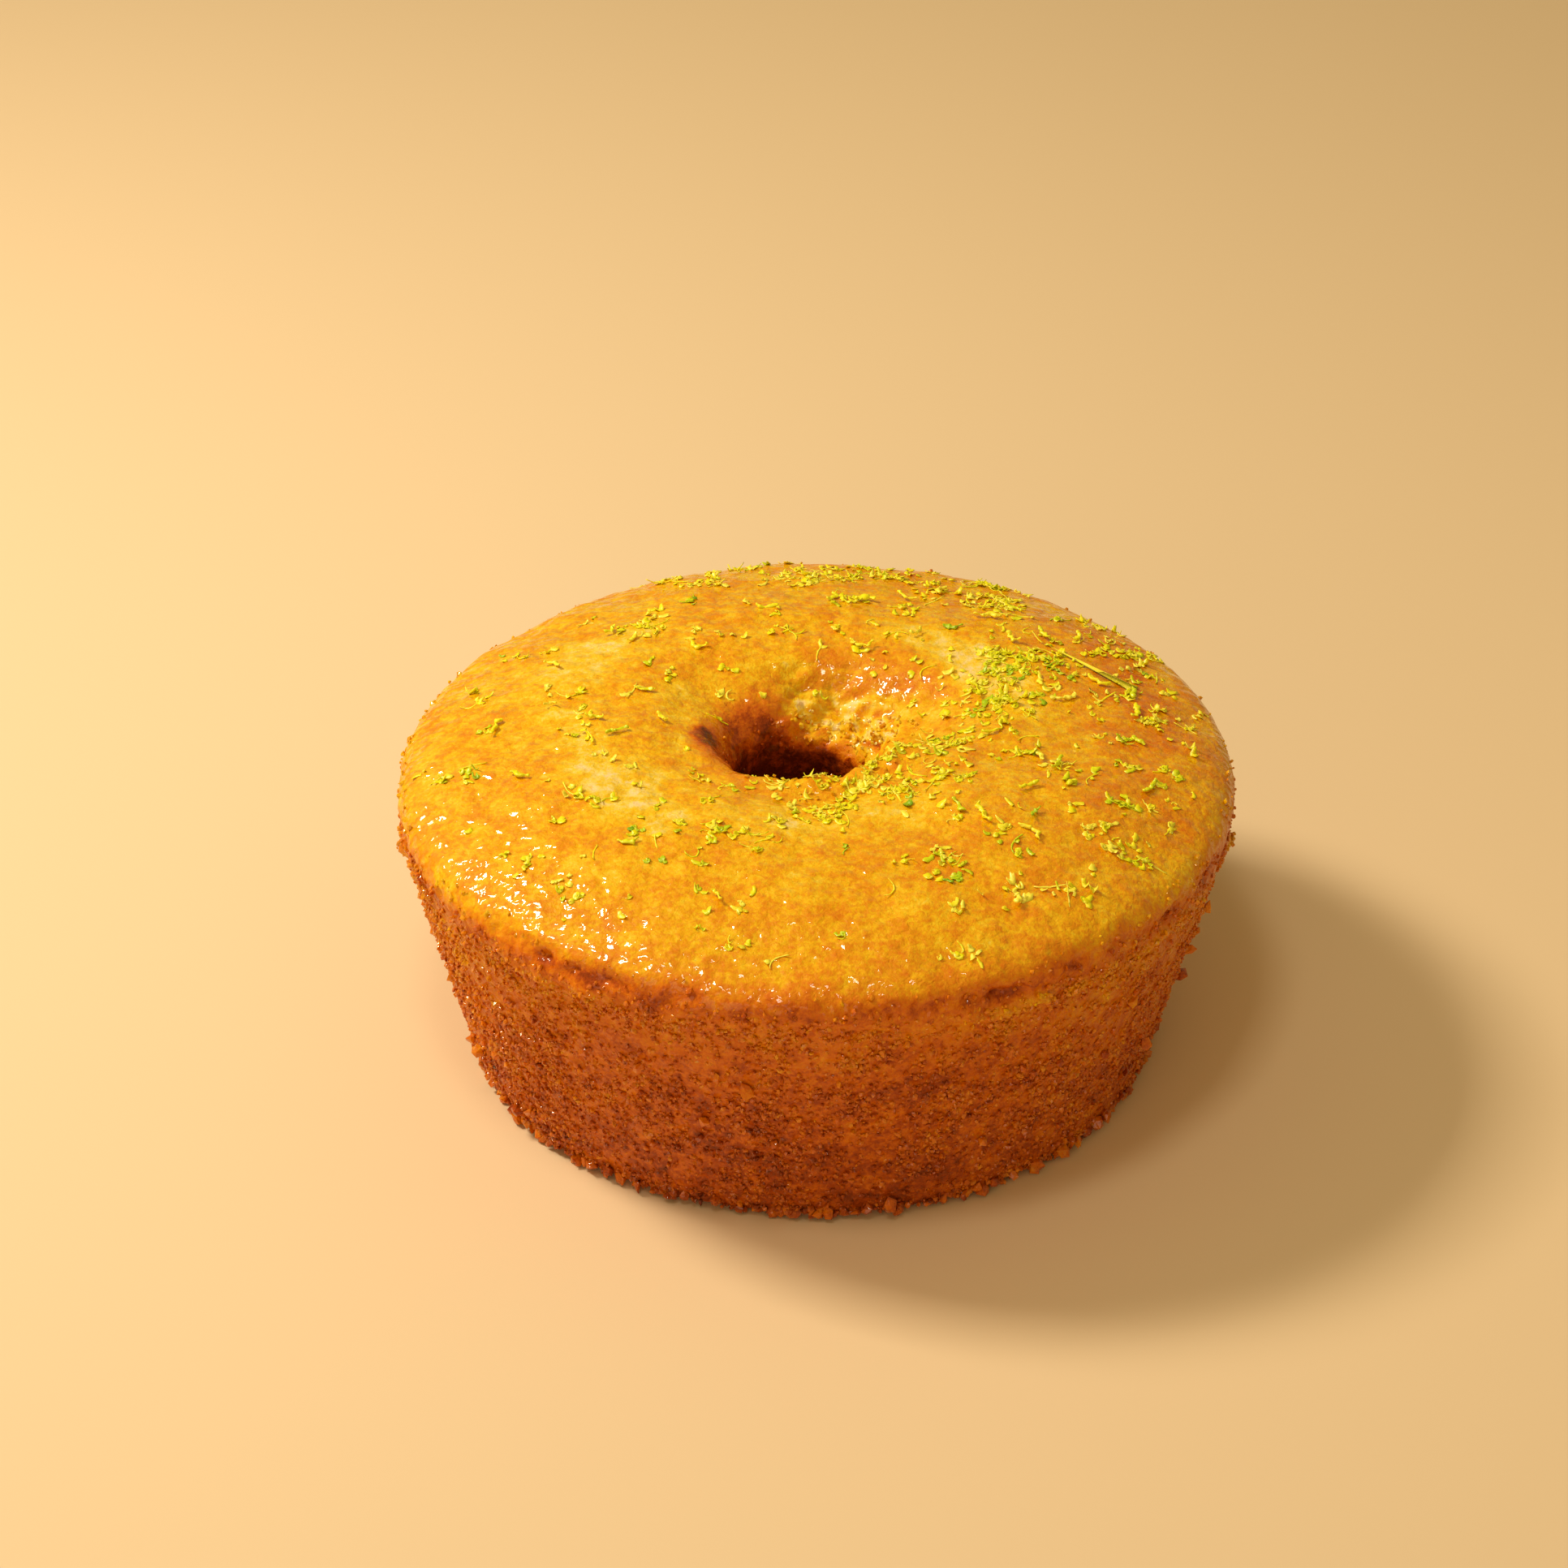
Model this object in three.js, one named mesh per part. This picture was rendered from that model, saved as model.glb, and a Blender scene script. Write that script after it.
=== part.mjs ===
// A citrus ring cake: one baked ring with a domed top, tapered sides and a centre hole, and shreds of
// grated peel strewn over the top. Millimetres, +Z up, origin at the centre of the base.
import * as THREE from "three";

// The ring, as it came out of a tapered tube pan and was set down the same way up.
const BASE_RADIUS = 85;
const BASE_CORNER = 2.5;
const WIDEST_RADIUS = 102; // the shoulder just under the top's edge
const WIDEST_HEIGHT = 68;
const EDGE_INSET = 5.5; // how far the top's edge lies inside the shoulder
const EDGE_RISE = 9; // and how far above it
const CROWN_RADIUS = 52;
const CROWN_RISE = 8; // the dome's crown above the top's edge

// The hole that the pan's tube left, wider below, with a funnel at the top where the batter rose round it.
const HOLE_BASE_RADIUS = 22;
const THROAT_RADIUS = 16.5;
const THROAT_DROP = 17; // the throat below the crown
const FUNNEL_RADIUS = 31;
const FUNNEL_DROP = 2.5; // the funnel's rim below the crown
const HOLE_SHIFT = new THREE.Vector2(-3, 2.5); // the tube stood a little off centre
const FRONT_LIP = 4.5; // how much higher the hole's front lip stands than the back of the funnel
const FRONT_LIP_OFFSET = 5.25; // the lip's line, outside the throat
const FRONT_LIP_HALF_WIDTH = 10;

// The slopes of the dome, as rise per millimetre inwards, and how far each curve of the section holds the
// direction that it starts or ends with.
const EDGE_SLOPE = 0.38;
const FUNNEL_SLOPE = -0.36;
const SHOULDER_REACH = 4;
const EDGE_REACH = { below: 5, above: 12 };
const CROWN_REACH = { outside: 18, inside: 8 };
const FUNNEL_REACH = { outside: 6, inside: 7 };
const THROAT_REACH = 8;

// What an oven does to a ring: slow swells of the dome and the wall, and a fold under the shoulder.
const SWELL_WAVES = [
  { count: 2, share: 0.5, turn: 1 },
  { count: 3, share: 0.3, turn: -1.7 },
  { count: 5, share: 0.2, turn: 2.3 },
];
const WALL_SWELL = { height: 0.9, phase: 0.8 };
const DOME_SWELL = { height: 1.3, phase: 2.1 };
const DOME_RIPPLE = { share: 0.5, length: 14 }; // finer waves over the dome, and how they turn with radius
const SHOULDER_BULGE = { height: 1.8, angle: THREE.MathUtils.degToRad(25) };
const FOLD_DEPTH = 0.9;
const FOLD_DROP = 7; // the fold's line below the shoulder
const FOLD_HALF_WIDTH = 5;
const FOLD_ROUND = { mean: 0.55, front: 0.45, waver: 0.3, waverCount: 3, waverPhase: 0.6 };
const SETTLED_MARGIN = 8; // the hole's edge and the wall move as one for this far into the ring
const TOP_BLEND = 3; // the dome's swell is whole from this far above the top's edge

// Grated peel.
const SHRED_COUNT = 48;
const SHRED_LENGTH = [5, 11];
const SHRED_WIDTH = [0.9, 1.5];
const SHRED_THICKNESS = 0.5;
const SHRED_CURL = 2.4; // the most that a shred turns from end to end, in radians
const SHRED_END_LIFT = 0.9; // the most that a shred's ends stand off the crust
const SHRED_TAPER = 0.55; // how much narrower a shred is at its ends
const SHRED_GAP = 0.35; // a shred's clearance over the crust
const SHRED_ALONG_SHARE = 0.3; // how much of the crust's slope along a shred adds to its clearance
const SHRED_SPACING = 2.2; // the least distance between two shreds
const SHRED_MARGIN = { funnel: 4, edge: 8 }; // the shreds keep this far from the funnel and the top's edge
const PEEL_SIDE = { angle: 0.35, least: 0.3, spread: 0.8 }; // more peel fell on this side
const SHRED_SEED = 11;

const RING_STEPS = 72;
const SECTION_STEPS = {
  base: 5,
  corner: 2,
  wall: 12,
  shoulder: 5,
  outerDome: 8,
  innerDome: 6,
  funnel: 6,
  bore: 6,
};
const SHRED_STEPS = 10;

const EDGE_HEIGHT = WIDEST_HEIGHT + EDGE_RISE;
const CROWN_HEIGHT = EDGE_HEIGHT + CROWN_RISE;
const SHRED_BAND = [FUNNEL_RADIUS + SHRED_MARGIN.funnel, WIDEST_RADIUS - EDGE_INSET - SHRED_MARGIN.edge];

const cakeCrust = new THREE.MeshStandardMaterial({ color: 0xd98a1e, roughness: 0.62, metalness: 0 });
const peel = new THREE.MeshStandardMaterial({ color: 0xd8cf1c, roughness: 0.5, metalness: 0 });

// A smooth bend of the section, which leaves one point and reaches the other in the directions given.
function bend(from, leaving, reaching, to) {
  return new THREE.CubicBezierCurve(from, from.clone().add(leaving), to.clone().sub(reaching), to);
}

// The ring's section: a closed line of radius and height, from the hole's foot out, up, over and back down.
function ringSection() {
  const at = (radius, height) => new THREE.Vector2(radius, height);
  const inwards = (reach, slope) => at(-reach, slope * reach);
  const wallLean = (WIDEST_RADIUS - BASE_RADIUS) / WIDEST_HEIGHT;

  const holeFoot = at(HOLE_BASE_RADIUS + BASE_CORNER, 0);
  const holeHeel = at(HOLE_BASE_RADIUS, BASE_CORNER);
  const foot = at(BASE_RADIUS - BASE_CORNER, 0);
  const heel = at(BASE_RADIUS + wallLean * BASE_CORNER, BASE_CORNER);
  const shoulder = at(WIDEST_RADIUS, WIDEST_HEIGHT);
  const edge = at(WIDEST_RADIUS - EDGE_INSET, EDGE_HEIGHT);
  const crown = at(CROWN_RADIUS, CROWN_HEIGHT);
  const rim = at(FUNNEL_RADIUS, CROWN_HEIGHT - FUNNEL_DROP);
  const throat = at(THROAT_RADIUS, CROWN_HEIGHT - THROAT_DROP);

  const upTheWall = at(wallLean, 1).multiplyScalar(SHOULDER_REACH);
  const ontoTop = inwards(EDGE_REACH.below, EDGE_SLOPE);
  const overTop = inwards(EDGE_REACH.above, EDGE_SLOPE);
  const ontoCrown = inwards(CROWN_REACH.outside, 0);
  const offCrown = inwards(CROWN_REACH.inside, 0);
  const ontoRim = inwards(FUNNEL_REACH.outside, FUNNEL_SLOPE);
  const offRim = inwards(FUNNEL_REACH.inside, FUNNEL_SLOPE);
  const downThroat = at(0, -THROAT_REACH);

  const stretches = [
    [new THREE.LineCurve(holeFoot, foot), SECTION_STEPS.base],
    [new THREE.QuadraticBezierCurve(foot, at(BASE_RADIUS, 0), heel), SECTION_STEPS.corner],
    [new THREE.LineCurve(heel, shoulder), SECTION_STEPS.wall],
    [bend(shoulder, upTheWall, ontoTop, edge), SECTION_STEPS.shoulder],
    [bend(edge, overTop, ontoCrown, crown), SECTION_STEPS.outerDome],
    [bend(crown, offCrown, ontoRim, rim), SECTION_STEPS.innerDome],
    [bend(rim, offRim, downThroat, throat), SECTION_STEPS.funnel],
    [new THREE.LineCurve(throat, holeHeel), SECTION_STEPS.bore],
    [new THREE.QuadraticBezierCurve(holeHeel, at(HOLE_BASE_RADIUS, 0), holeFoot), SECTION_STEPS.corner],
  ];
  const line = stretches.flatMap(([curve, steps]) => curve.getPoints(steps).slice(0, -1));
  return [...line, line[0].clone()];
}

// Slow waves round the ring, the same at both ends of a full turn, between -1 and 1.
function swell(angle, phase) {
  const waves = SWELL_WAVES.map(({ count, share, turn }) => share * Math.sin(count * angle + turn * phase));
  return waves.reduce((sum, wave) => sum + wave);
}

// 1 at the middle of a band and 0 from its half width out.
function band(distance, halfWidth) {
  const share = Math.min(1, Math.abs(distance) / halfWidth);
  return (1 - share * share) ** 2;
}

// How strongly the fold shows at an angle round the ring: most at the front.
function foldStrength(angle) {
  const waver = FOLD_ROUND.waver * Math.sin(FOLD_ROUND.waverCount * angle + FOLD_ROUND.waverPhase);
  return Math.max(0, FOLD_ROUND.mean - FOLD_ROUND.front * Math.sin(angle) + waver);
}

// Moves a point of the plain turned ring to where the oven left it.
function baked(point) {
  const { smoothstep } = THREE.MathUtils;
  const radius = Math.hypot(point.x, point.y);
  const angle = Math.atan2(point.y, point.x);
  const outward = smoothstep(radius, HOLE_BASE_RADIUS + SETTLED_MARGIN, BASE_RADIUS - SETTLED_MARGIN);
  const upward = smoothstep(point.z, 0, WIDEST_HEIGHT);
  const onTop = smoothstep(point.z, WIDEST_HEIGHT, EDGE_HEIGHT + TOP_BLEND);

  const facing = Math.max(0, Math.cos(angle - SHOULDER_BULGE.angle));
  const bulge = SHOULDER_BULGE.height * facing * upward;
  const fold = FOLD_DEPTH * foldStrength(angle) * band(point.z - WIDEST_HEIGHT + FOLD_DROP, FOLD_HALF_WIDTH);
  const grown = radius + outward * (WALL_SWELL.height * swell(angle, WALL_SWELL.phase) + bulge - fold);
  const shift = HOLE_SHIFT.clone().multiplyScalar(1 - outward);

  const ripple = DOME_RIPPLE.share * swell(2 * angle, radius / DOME_RIPPLE.length);
  const dome = DOME_SWELL.height * (swell(angle, DOME_SWELL.phase) + ripple);
  const frontness = 0.5 - 0.5 * Math.sin(angle);
  const lip = FRONT_LIP * frontness * band(radius - THROAT_RADIUS - FRONT_LIP_OFFSET, FRONT_LIP_HALF_WIDTH);
  return new THREE.Vector3(
    point.x * (grown / radius) + shift.x,
    point.y * (grown / radius) + shift.y,
    point.z + (dome + lip) * onTop,
  );
}

function cakeGeometry() {
  const geometry = new THREE.LatheGeometry(ringSection(), RING_STEPS);
  geometry.rotateX(Math.PI / 2); // LatheGeometry turns about Y, and the ring stands on Z
  const position = geometry.getAttribute("position");
  const point = new THREE.Vector3();
  for (let i = 0; i < position.count; i++) {
    const moved = baked(point.fromBufferAttribute(position, i));
    position.setXYZ(i, moved.x, moved.y, moved.z);
  }
  return geometry;
}

// The same small generator each time (a linear congruential one), so that the peel always falls the same way.
function randomNumbers(seed) {
  const modulus = 2 ** 32;
  let state = seed;
  return () => {
    state = (state * 1664525 + 1013904223) % modulus;
    return state / modulus;
  };
}

// Looks straight down on the cake and gives the crust's point and normal there.
function crustBelow(cake, x, y) {
  const down = new THREE.Raycaster(new THREE.Vector3(x, y, 2 * CROWN_HEIGHT), new THREE.Vector3(0, 0, -1));
  const hit = down.intersectObject(cake)[0];
  return { point: hit.point, normal: hit.face.normal };
}

// A shred's middle line along the crust: its points, each with the direction up from the crust.
function shredLine(cake, shred) {
  const line = [];
  for (let i = 0; i <= SHRED_STEPS; i++) {
    const along = i / SHRED_STEPS - 0.5;
    const heading = shred.heading + shred.curl * along;
    const last = line.at(-1);
    const x = last ? last.x + (Math.cos(heading) * shred.length) / SHRED_STEPS : shred.x;
    const y = last ? last.y + (Math.sin(heading) * shred.length) / SHRED_STEPS : shred.y;
    line.push({ x, y, heading, along });
  }
  return line.map((place) => ({ ...place, ...crustBelow(cake, place.x, place.y) }));
}

// The extra height that keeps a strip's lower edges off a crust that slopes under them.
function slopeRoom({ normal, heading }, halfWidth) {
  const across = Math.abs(Math.cos(heading) * normal.y - Math.sin(heading) * normal.x);
  const along = Math.abs(Math.cos(heading) * normal.x + Math.sin(heading) * normal.y);
  return ((across + SHRED_ALONG_SHARE * along) / normal.z) * halfWidth;
}

// A strip of peel, bent from a straight bar so that it follows its line, thins to its ends and lifts there.
function shredGeometry(shred, line) {
  const bar = new THREE.BoxGeometry(1, shred.width, SHRED_THICKNESS, SHRED_STEPS, 1, 1);
  const position = bar.getAttribute("position");
  for (let i = 0; i < position.count; i++) {
    const place = line[Math.round((position.getX(i) + 0.5) * SHRED_STEPS)];
    const fromMiddle = Math.abs(2 * place.along);
    const side = position.getY(i) * (1 - SHRED_TAPER * fromMiddle ** 3);
    const lift = SHRED_GAP + SHRED_THICKNESS / 2 + shred.lift * fromMiddle ** 4;
    position.setXYZ(
      i,
      place.point.x - Math.sin(place.heading) * side,
      place.point.y + Math.cos(place.heading) * side,
      place.point.z + position.getZ(i) + lift + slopeRoom(place, shred.width / 2),
    );
  }
  return bar;
}

// The share of the peel that stays where it falls, so that more of it lies on one side.
function peelDensity(x, y) {
  const facing = Math.max(0, Math.cos(Math.atan2(y, x) - PEEL_SIDE.angle));
  return PEEL_SIDE.least + (1 - PEEL_SIDE.least) * facing ** PEEL_SIDE.spread;
}

function fallenShred(between) {
  const angle = between([-Math.PI, Math.PI]);
  const radius = Math.sqrt(between(SHRED_BAND.map((r) => r * r)));
  return {
    x: radius * Math.cos(angle),
    y: radius * Math.sin(angle),
    heading: between([-Math.PI, Math.PI]),
    curl: between([-SHRED_CURL, SHRED_CURL]),
    length: between(SHRED_LENGTH),
    width: between(SHRED_WIDTH),
    lift: between([0, SHRED_END_LIFT]),
  };
}

// Strews the shreds one by one, and keeps those that lie on the top and clear of the ones before.
function strewnShreds(cake) {
  const random = randomNumbers(SHRED_SEED);
  const between = ([low, high]) => low + (high - low) * random();
  const apart = (a, b) => Math.hypot(a.x - b.x, a.y - b.y) > SHRED_SPACING;
  const placed = [];
  while (placed.length < SHRED_COUNT) {
    const shred = fallenShred(between);
    if (random() > peelDensity(shred.x, shred.y)) continue;
    const line = shredLine(cake, shred);
    const radii = line.map(({ x, y }) => Math.hypot(x, y));
    const onTop = Math.min(...radii) > SHRED_BAND[0] && Math.max(...radii) < SHRED_BAND[1];
    const clear = placed.every((other) => other.line.every((a) => line.every((b) => apart(a, b))));
    if (onTop && clear) placed.push({ shred, line });
  }
  return placed;
}

const ringCake = new THREE.Group();
const cake = new THREE.Mesh(cakeGeometry(), cakeCrust);
cake.name = "cake";
ringCake.add(cake);

strewnShreds(cake).forEach(({ shred, line }, i) => {
  const strip = new THREE.Mesh(shredGeometry(shred, line), peel);
  strip.name = "zest_shred_" + String(i + 1).padStart(2, "0");
  ringCake.add(strip);
});

// The base's middle is the origin, whatever the swells did to the outline.
const outline = new THREE.Box3().setFromObject(ringCake);
const middle = outline.getCenter(new THREE.Vector3());
ringCake.position.set(-middle.x, -middle.y, -outline.min.z);

export default ringCake;
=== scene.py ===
"""A syrup-soaked citrus ring cake strewn with grated peel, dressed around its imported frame."""

import logging
import math
import random
from dataclasses import dataclass, field
from enum import Enum
from typing import Callable, Iterable, Protocol

import bmesh
import bpy
from mathutils import Matrix, Vector, noise
from mathutils.bvhtree import BVHTree


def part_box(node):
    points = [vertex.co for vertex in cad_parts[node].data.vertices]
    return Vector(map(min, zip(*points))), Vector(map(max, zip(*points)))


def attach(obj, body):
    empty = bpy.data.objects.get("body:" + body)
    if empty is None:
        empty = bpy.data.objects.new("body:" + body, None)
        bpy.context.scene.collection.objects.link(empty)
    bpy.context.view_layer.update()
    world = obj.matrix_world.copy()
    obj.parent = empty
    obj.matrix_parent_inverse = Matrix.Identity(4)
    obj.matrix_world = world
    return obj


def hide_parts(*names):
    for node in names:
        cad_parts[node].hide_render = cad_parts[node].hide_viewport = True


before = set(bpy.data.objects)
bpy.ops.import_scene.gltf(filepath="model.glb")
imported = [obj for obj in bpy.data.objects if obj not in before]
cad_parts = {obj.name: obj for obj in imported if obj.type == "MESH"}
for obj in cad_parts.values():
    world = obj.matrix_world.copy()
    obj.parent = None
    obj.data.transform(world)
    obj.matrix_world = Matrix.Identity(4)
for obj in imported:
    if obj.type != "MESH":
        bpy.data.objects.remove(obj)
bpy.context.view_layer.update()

LOG = logging.getLogger("ring_cake")
MM = 0.001
BODY = "root"
RING_NODE = "cake"
SHRED_PREFIX = "zest_shred_"
UP = Vector((0.0, 0.0, 1.0))
MERGE = 0.01 * MM


def linear(hex_code: str) -> tuple[float, float, float, float]:
    """Turns an sRGB hex colour into linear red, green and blue, with a full alpha."""
    channels = [int(hex_code[i : i + 2], 16) / 255 for i in (1, 3, 5)]
    light = [c / 12.92 if c <= 0.04045 else ((c + 0.055) / 1.055) ** 2.4 for c in channels]
    return (light[0], light[1], light[2], 1.0)


def ease(start: float, end: float, value: float) -> float:
    """Goes smoothly from 0 where value is start to 1 where it is end, rising or falling."""
    share = min(1.0, max(0.0, (value - start) / (end - start)))
    return share * share * (3 - 2 * share)


def hump(centre: float, half_width: float, value: float) -> float:
    """Is 1 at the centre and falls smoothly to 0 from half_width away."""
    return ease(half_width, 0.0, abs(value - centre))


def cloud(place: Vector, lump: float, seed: float = 0.0) -> float:
    """Smooth noise from about -1 to 1, whose lumps are lump metres across."""
    return noise.noise(place / lump + Vector((seed, 1.7 * seed, -seed)))


def turn_between(angle: float, centre: float) -> float:
    """How far an angle is from another the short way round, in radians."""
    return abs(math.remainder(angle - centre, math.tau))


def near(angle: float, centre: float, full: float, none: float) -> float:
    """Is 1 while an angle is within full of a centre and 0 from none on, all in radians."""
    return ease(none, full, turn_between(angle, centre))


def along_stops(stops: tuple[tuple[float, float], ...], value: float) -> float:
    """Reads a line of rising stops at a value.

    Args:
        stops: pairs of a place and the number there, with the places rising.
        value: where to read.

    Returns:
        The number at value, straight between its two stops and level beyond the ends.
    """
    if value <= stops[0][0]:
        return stops[0][1]
    for (low, below), (high, above) in zip(stops, stops[1:]):
        if value <= high:
            return below + (above - below) * (value - low) / (high - low)
    return stops[-1][1]


def feed(tree: bpy.types.NodeTree, node: bpy.types.Node, inputs: dict) -> None:
    """Sets or links a node's inputs.

    Args:
        tree: the material's node tree.
        node: the node.
        inputs: for an input's name or number, the value to set or the output to link from.
    """
    for key, value in inputs.items():
        if isinstance(value, bpy.types.NodeSocket):
            tree.links.new(value, node.inputs[key])
        else:
            node.inputs[key].default_value = value


def add_node(
    tree: bpy.types.NodeTree, kind: str, inputs: dict | None = None, **settings: object
) -> bpy.types.Node:
    """Adds one shader node with its settings and links.

    Args:
        tree: the material's node tree.
        kind: the node's type, such as ShaderNodeTexNoise.
        inputs: what each input is set to or linked from, as feed takes it.
        settings: the node's own properties.

    Returns:
        The new node.
    """
    node = tree.nodes.new(kind)
    for name, value in settings.items():
        setattr(node, name, value)
    feed(tree, node, inputs or {})
    return node


def set_ramp(node: bpy.types.Node, stops: Iterable[tuple[float, str]]) -> None:
    """Gives a colour ramp its stops.

    Args:
        node: the Color Ramp node.
        stops: pairs of a position from 0 to 1 and an sRGB hex colour.
    """
    elements = node.color_ramp.elements
    for i, (position, colour) in enumerate(stops):
        element = elements[i] if i < len(elements) else elements.new(position)
        element.position = position
        element.color = linear(colour)


def write_attribute(mesh: bpy.types.Mesh, name: str, values: list[float]) -> None:
    """Writes one number for each vertex of a mesh, for its material to read."""
    made = mesh.attributes.new(name, "FLOAT", "POINT")
    made.data.foreach_set("value", values)


def finish_piece(
    name: str, bm: bmesh.types.BMesh, finish: bpy.types.Material, smooth: bool = True
) -> bpy.types.Object:
    """Turns a bmesh into a piece that rides on the cake's body.

    Args:
        name: the piece's name.
        bm: its geometry in the frame's place, freed here.
        finish: its material.
        smooth: whether its faces are shaded as one smooth skin.

    Returns:
        The piece's object, at the origin.
    """
    mesh = bpy.data.meshes.new(name)
    bm.to_mesh(mesh)
    bm.free()
    if smooth:
        mesh.shade_smooth()
    mesh.materials.append(finish)
    piece = bpy.data.objects.new(name, mesh)
    bpy.context.scene.collection.objects.link(piece)
    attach(piece, BODY)
    LOG.info("%s: %d faces", name, len(mesh.polygons))
    return piece


def merged_copy(node: str) -> bmesh.types.BMesh:
    """Copies a CAD node's mesh, with its split corners merged and its triangles joined up."""
    bm = bmesh.new()
    bm.from_mesh(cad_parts[node].data)
    bmesh.ops.remove_doubles(bm, verts=bm.verts, dist=MERGE)
    bmesh.ops.join_triangles(
        bm,
        faces=bm.faces,
        angle_face_threshold=math.radians(40),
        angle_shape_threshold=math.radians(60),
    )
    return bm


@dataclass(frozen=True)
class RingPoint:
    """A point of the crust in the ring's own terms: metres, and radians round the ring from +X."""

    place: Vector
    facing: Vector
    radius: float
    angle: float
    hole_radius: float
    hole_angle: float


@dataclass(frozen=True)
class Ring:
    """The landmarks of the ring, worked out from its CAD solid."""

    top: float
    hole: Vector
    edge_below_crown: float = 9.5 * MM
    throat_below_crown: float = 18.5 * MM
    hole_search: float = 24 * MM

    @classmethod
    def from_frame(cls) -> "Ring":
        """Reads the ring's height, and takes the middle of the hole's wall as its axis."""
        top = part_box(RING_NODE)[1].z
        places = [v.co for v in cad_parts[RING_NODE].data.vertices]
        wall = [p for p in places if p.xy.length < cls.hole_search and p.z < top / 2]
        middle = sum(wall, Vector()) / len(wall)
        return cls(top, Vector((middle.x, middle.y, 0.0)))

    @property
    def edge(self) -> float:
        """The height of the top's edge."""
        return self.top - self.edge_below_crown

    @property
    def throat(self) -> float:
        """The height at which the funnel becomes the hole's wall."""
        return self.top - self.throat_below_crown

    def point(self, place: Vector, facing: Vector) -> RingPoint:
        """Puts a place and its outward direction in the ring's own terms."""
        in_hole = place - self.hole
        return RingPoint(
            place.copy(),
            facing.copy(),
            place.xy.length,
            math.atan2(place.y, place.x),
            in_hole.xy.length,
            math.atan2(in_hole.y, in_hole.x),
        )


class Relief(Protocol):
    """One kind of unevenness of the crust."""

    def height(self, point: RingPoint) -> float:
        """How far the crust stands out at a point, in metres."""


@dataclass(frozen=True)
class Blisters:
    """The low blisters and dimples of a top that rose freely and then soaked up syrup."""

    sizes: tuple[float, ...] = (17 * MM, 7 * MM, 3.4 * MM, 2.1 * MM)
    heights: tuple[float, ...] = (0.6 * MM, 0.42 * MM, 0.22 * MM, 0.14 * MM)

    facing_up: tuple[float, float] = (0.3, 0.8)
    seed: float = 3.1

    def height(self, point: RingPoint) -> float:
        """Sums the blisters of each size, only where the crust faces up."""
        on_top = ease(*self.facing_up, point.facing.z)
        lumps = (h * cloud(point.place, s, self.seed) for s, h in zip(self.sizes, self.heights))
        return on_top * sum(lumps)


@dataclass(frozen=True)
class WallCrumb:
    """The rough crumb of the wall, which tore as the pan came off, most on the left front."""

    sizes: tuple[float, ...] = (9 * MM, 3.6 * MM, 2.2 * MM)
    heights: tuple[float, ...] = (0.3 * MM, 0.26 * MM, 0.24 * MM)
    seed: float = 8.2
    rough_side: float = math.radians(-150)
    rough_reach: tuple[float, float] = (math.radians(30), math.radians(130))
    smooth_share: float = 0.55
    rough_share: float = 0.45
    pit_size: float = 5 * MM
    pit_depth: float = 0.7 * MM
    pit_edge: tuple[float, float] = (0.42, 0.62)
    pit_seed: float = 5.5
    facing_aside: tuple[float, float] = (0.75, 0.35)

    def height(self, point: RingPoint) -> float:
        """Sums the wall's lumps and takes off its pits, where the crust faces sideways."""
        on_wall = ease(*self.facing_aside, abs(point.facing.z))
        rough_side = near(point.angle, self.rough_side, *self.rough_reach)
        rough = self.smooth_share + self.rough_share * rough_side
        lumps = sum(h * cloud(point.place, s, self.seed) for s, h in zip(self.sizes, self.heights))
        pit = ease(*self.pit_edge, cloud(point.place, self.pit_size, self.pit_seed))
        return on_wall * rough * (lumps - self.pit_depth * pit)


@dataclass(frozen=True)
class CreaseArc:
    """One stretch of the crease: its middle and half length in degrees, and its height in metres."""

    angle: float
    half_angle: float
    level: float


@dataclass(frozen=True)
class ShoulderCrease:
    """The broken crease where the batter stuck to the pan and the dome rose past it."""

    arcs: tuple[CreaseArc, ...] = (
        CreaseArc(-122, 20, 72.5 * MM),
        CreaseArc(-62, 24, 70.5 * MM),
        CreaseArc(-29, 13, 69.5 * MM),
        CreaseArc(-2, 15, 68.0 * MM),
        CreaseArc(62, 26, 70.5 * MM),
        CreaseArc(128, 17, 72.0 * MM),
        CreaseArc(-172, 15, 69.0 * MM),
    )
    outside: float = 70 * MM
    waver: float = 2.6 * MM
    waver_size: float = 16 * MM
    gap_size: float = 8 * MM
    gap_edge: tuple[float, float] = (-0.5, 0.3)
    half_width: float = 3.4 * MM
    depth: float = 2.0 * MM
    ledge: float = 1.6 * MM
    ledge_drop: float = 5.5 * MM
    crumble: float = 1.1
    crumble_size: float = 3.6 * MM

    def along(self, point: RingPoint, drop: float) -> float:
        """How near a point is to the crease's line, from 0 to 1.

        Args:
            point: the point of the crust.
            drop: how far below the crease the line is taken.

        Returns:
            The nearness, broken up along its length.
        """
        if point.radius < self.outside:
            return 0.0
        broken = ease(*self.gap_edge, cloud(point.place, self.gap_size, 6.4))
        wavering = self.waver * cloud(point.place, self.waver_size, 1.3)
        total = 0.0
        for arc in self.arcs:
            half = math.radians(arc.half_angle)
            around = near(point.angle, math.radians(arc.angle), 0.4 * half, half)
            total += around * hump(arc.level - drop + wavering, self.half_width, point.place.z)
        return broken * total

    def height(self, point: RingPoint) -> float:
        """Cuts the crease in, and lifts the ledge of crumb below it."""
        crumbly = 1 + self.crumble * cloud(point.place, self.crumble_size, 2.7)
        ledge = self.ledge * self.along(point, self.ledge_drop)
        return crumbly * (ledge - self.depth * self.along(point, 0.0))


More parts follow.
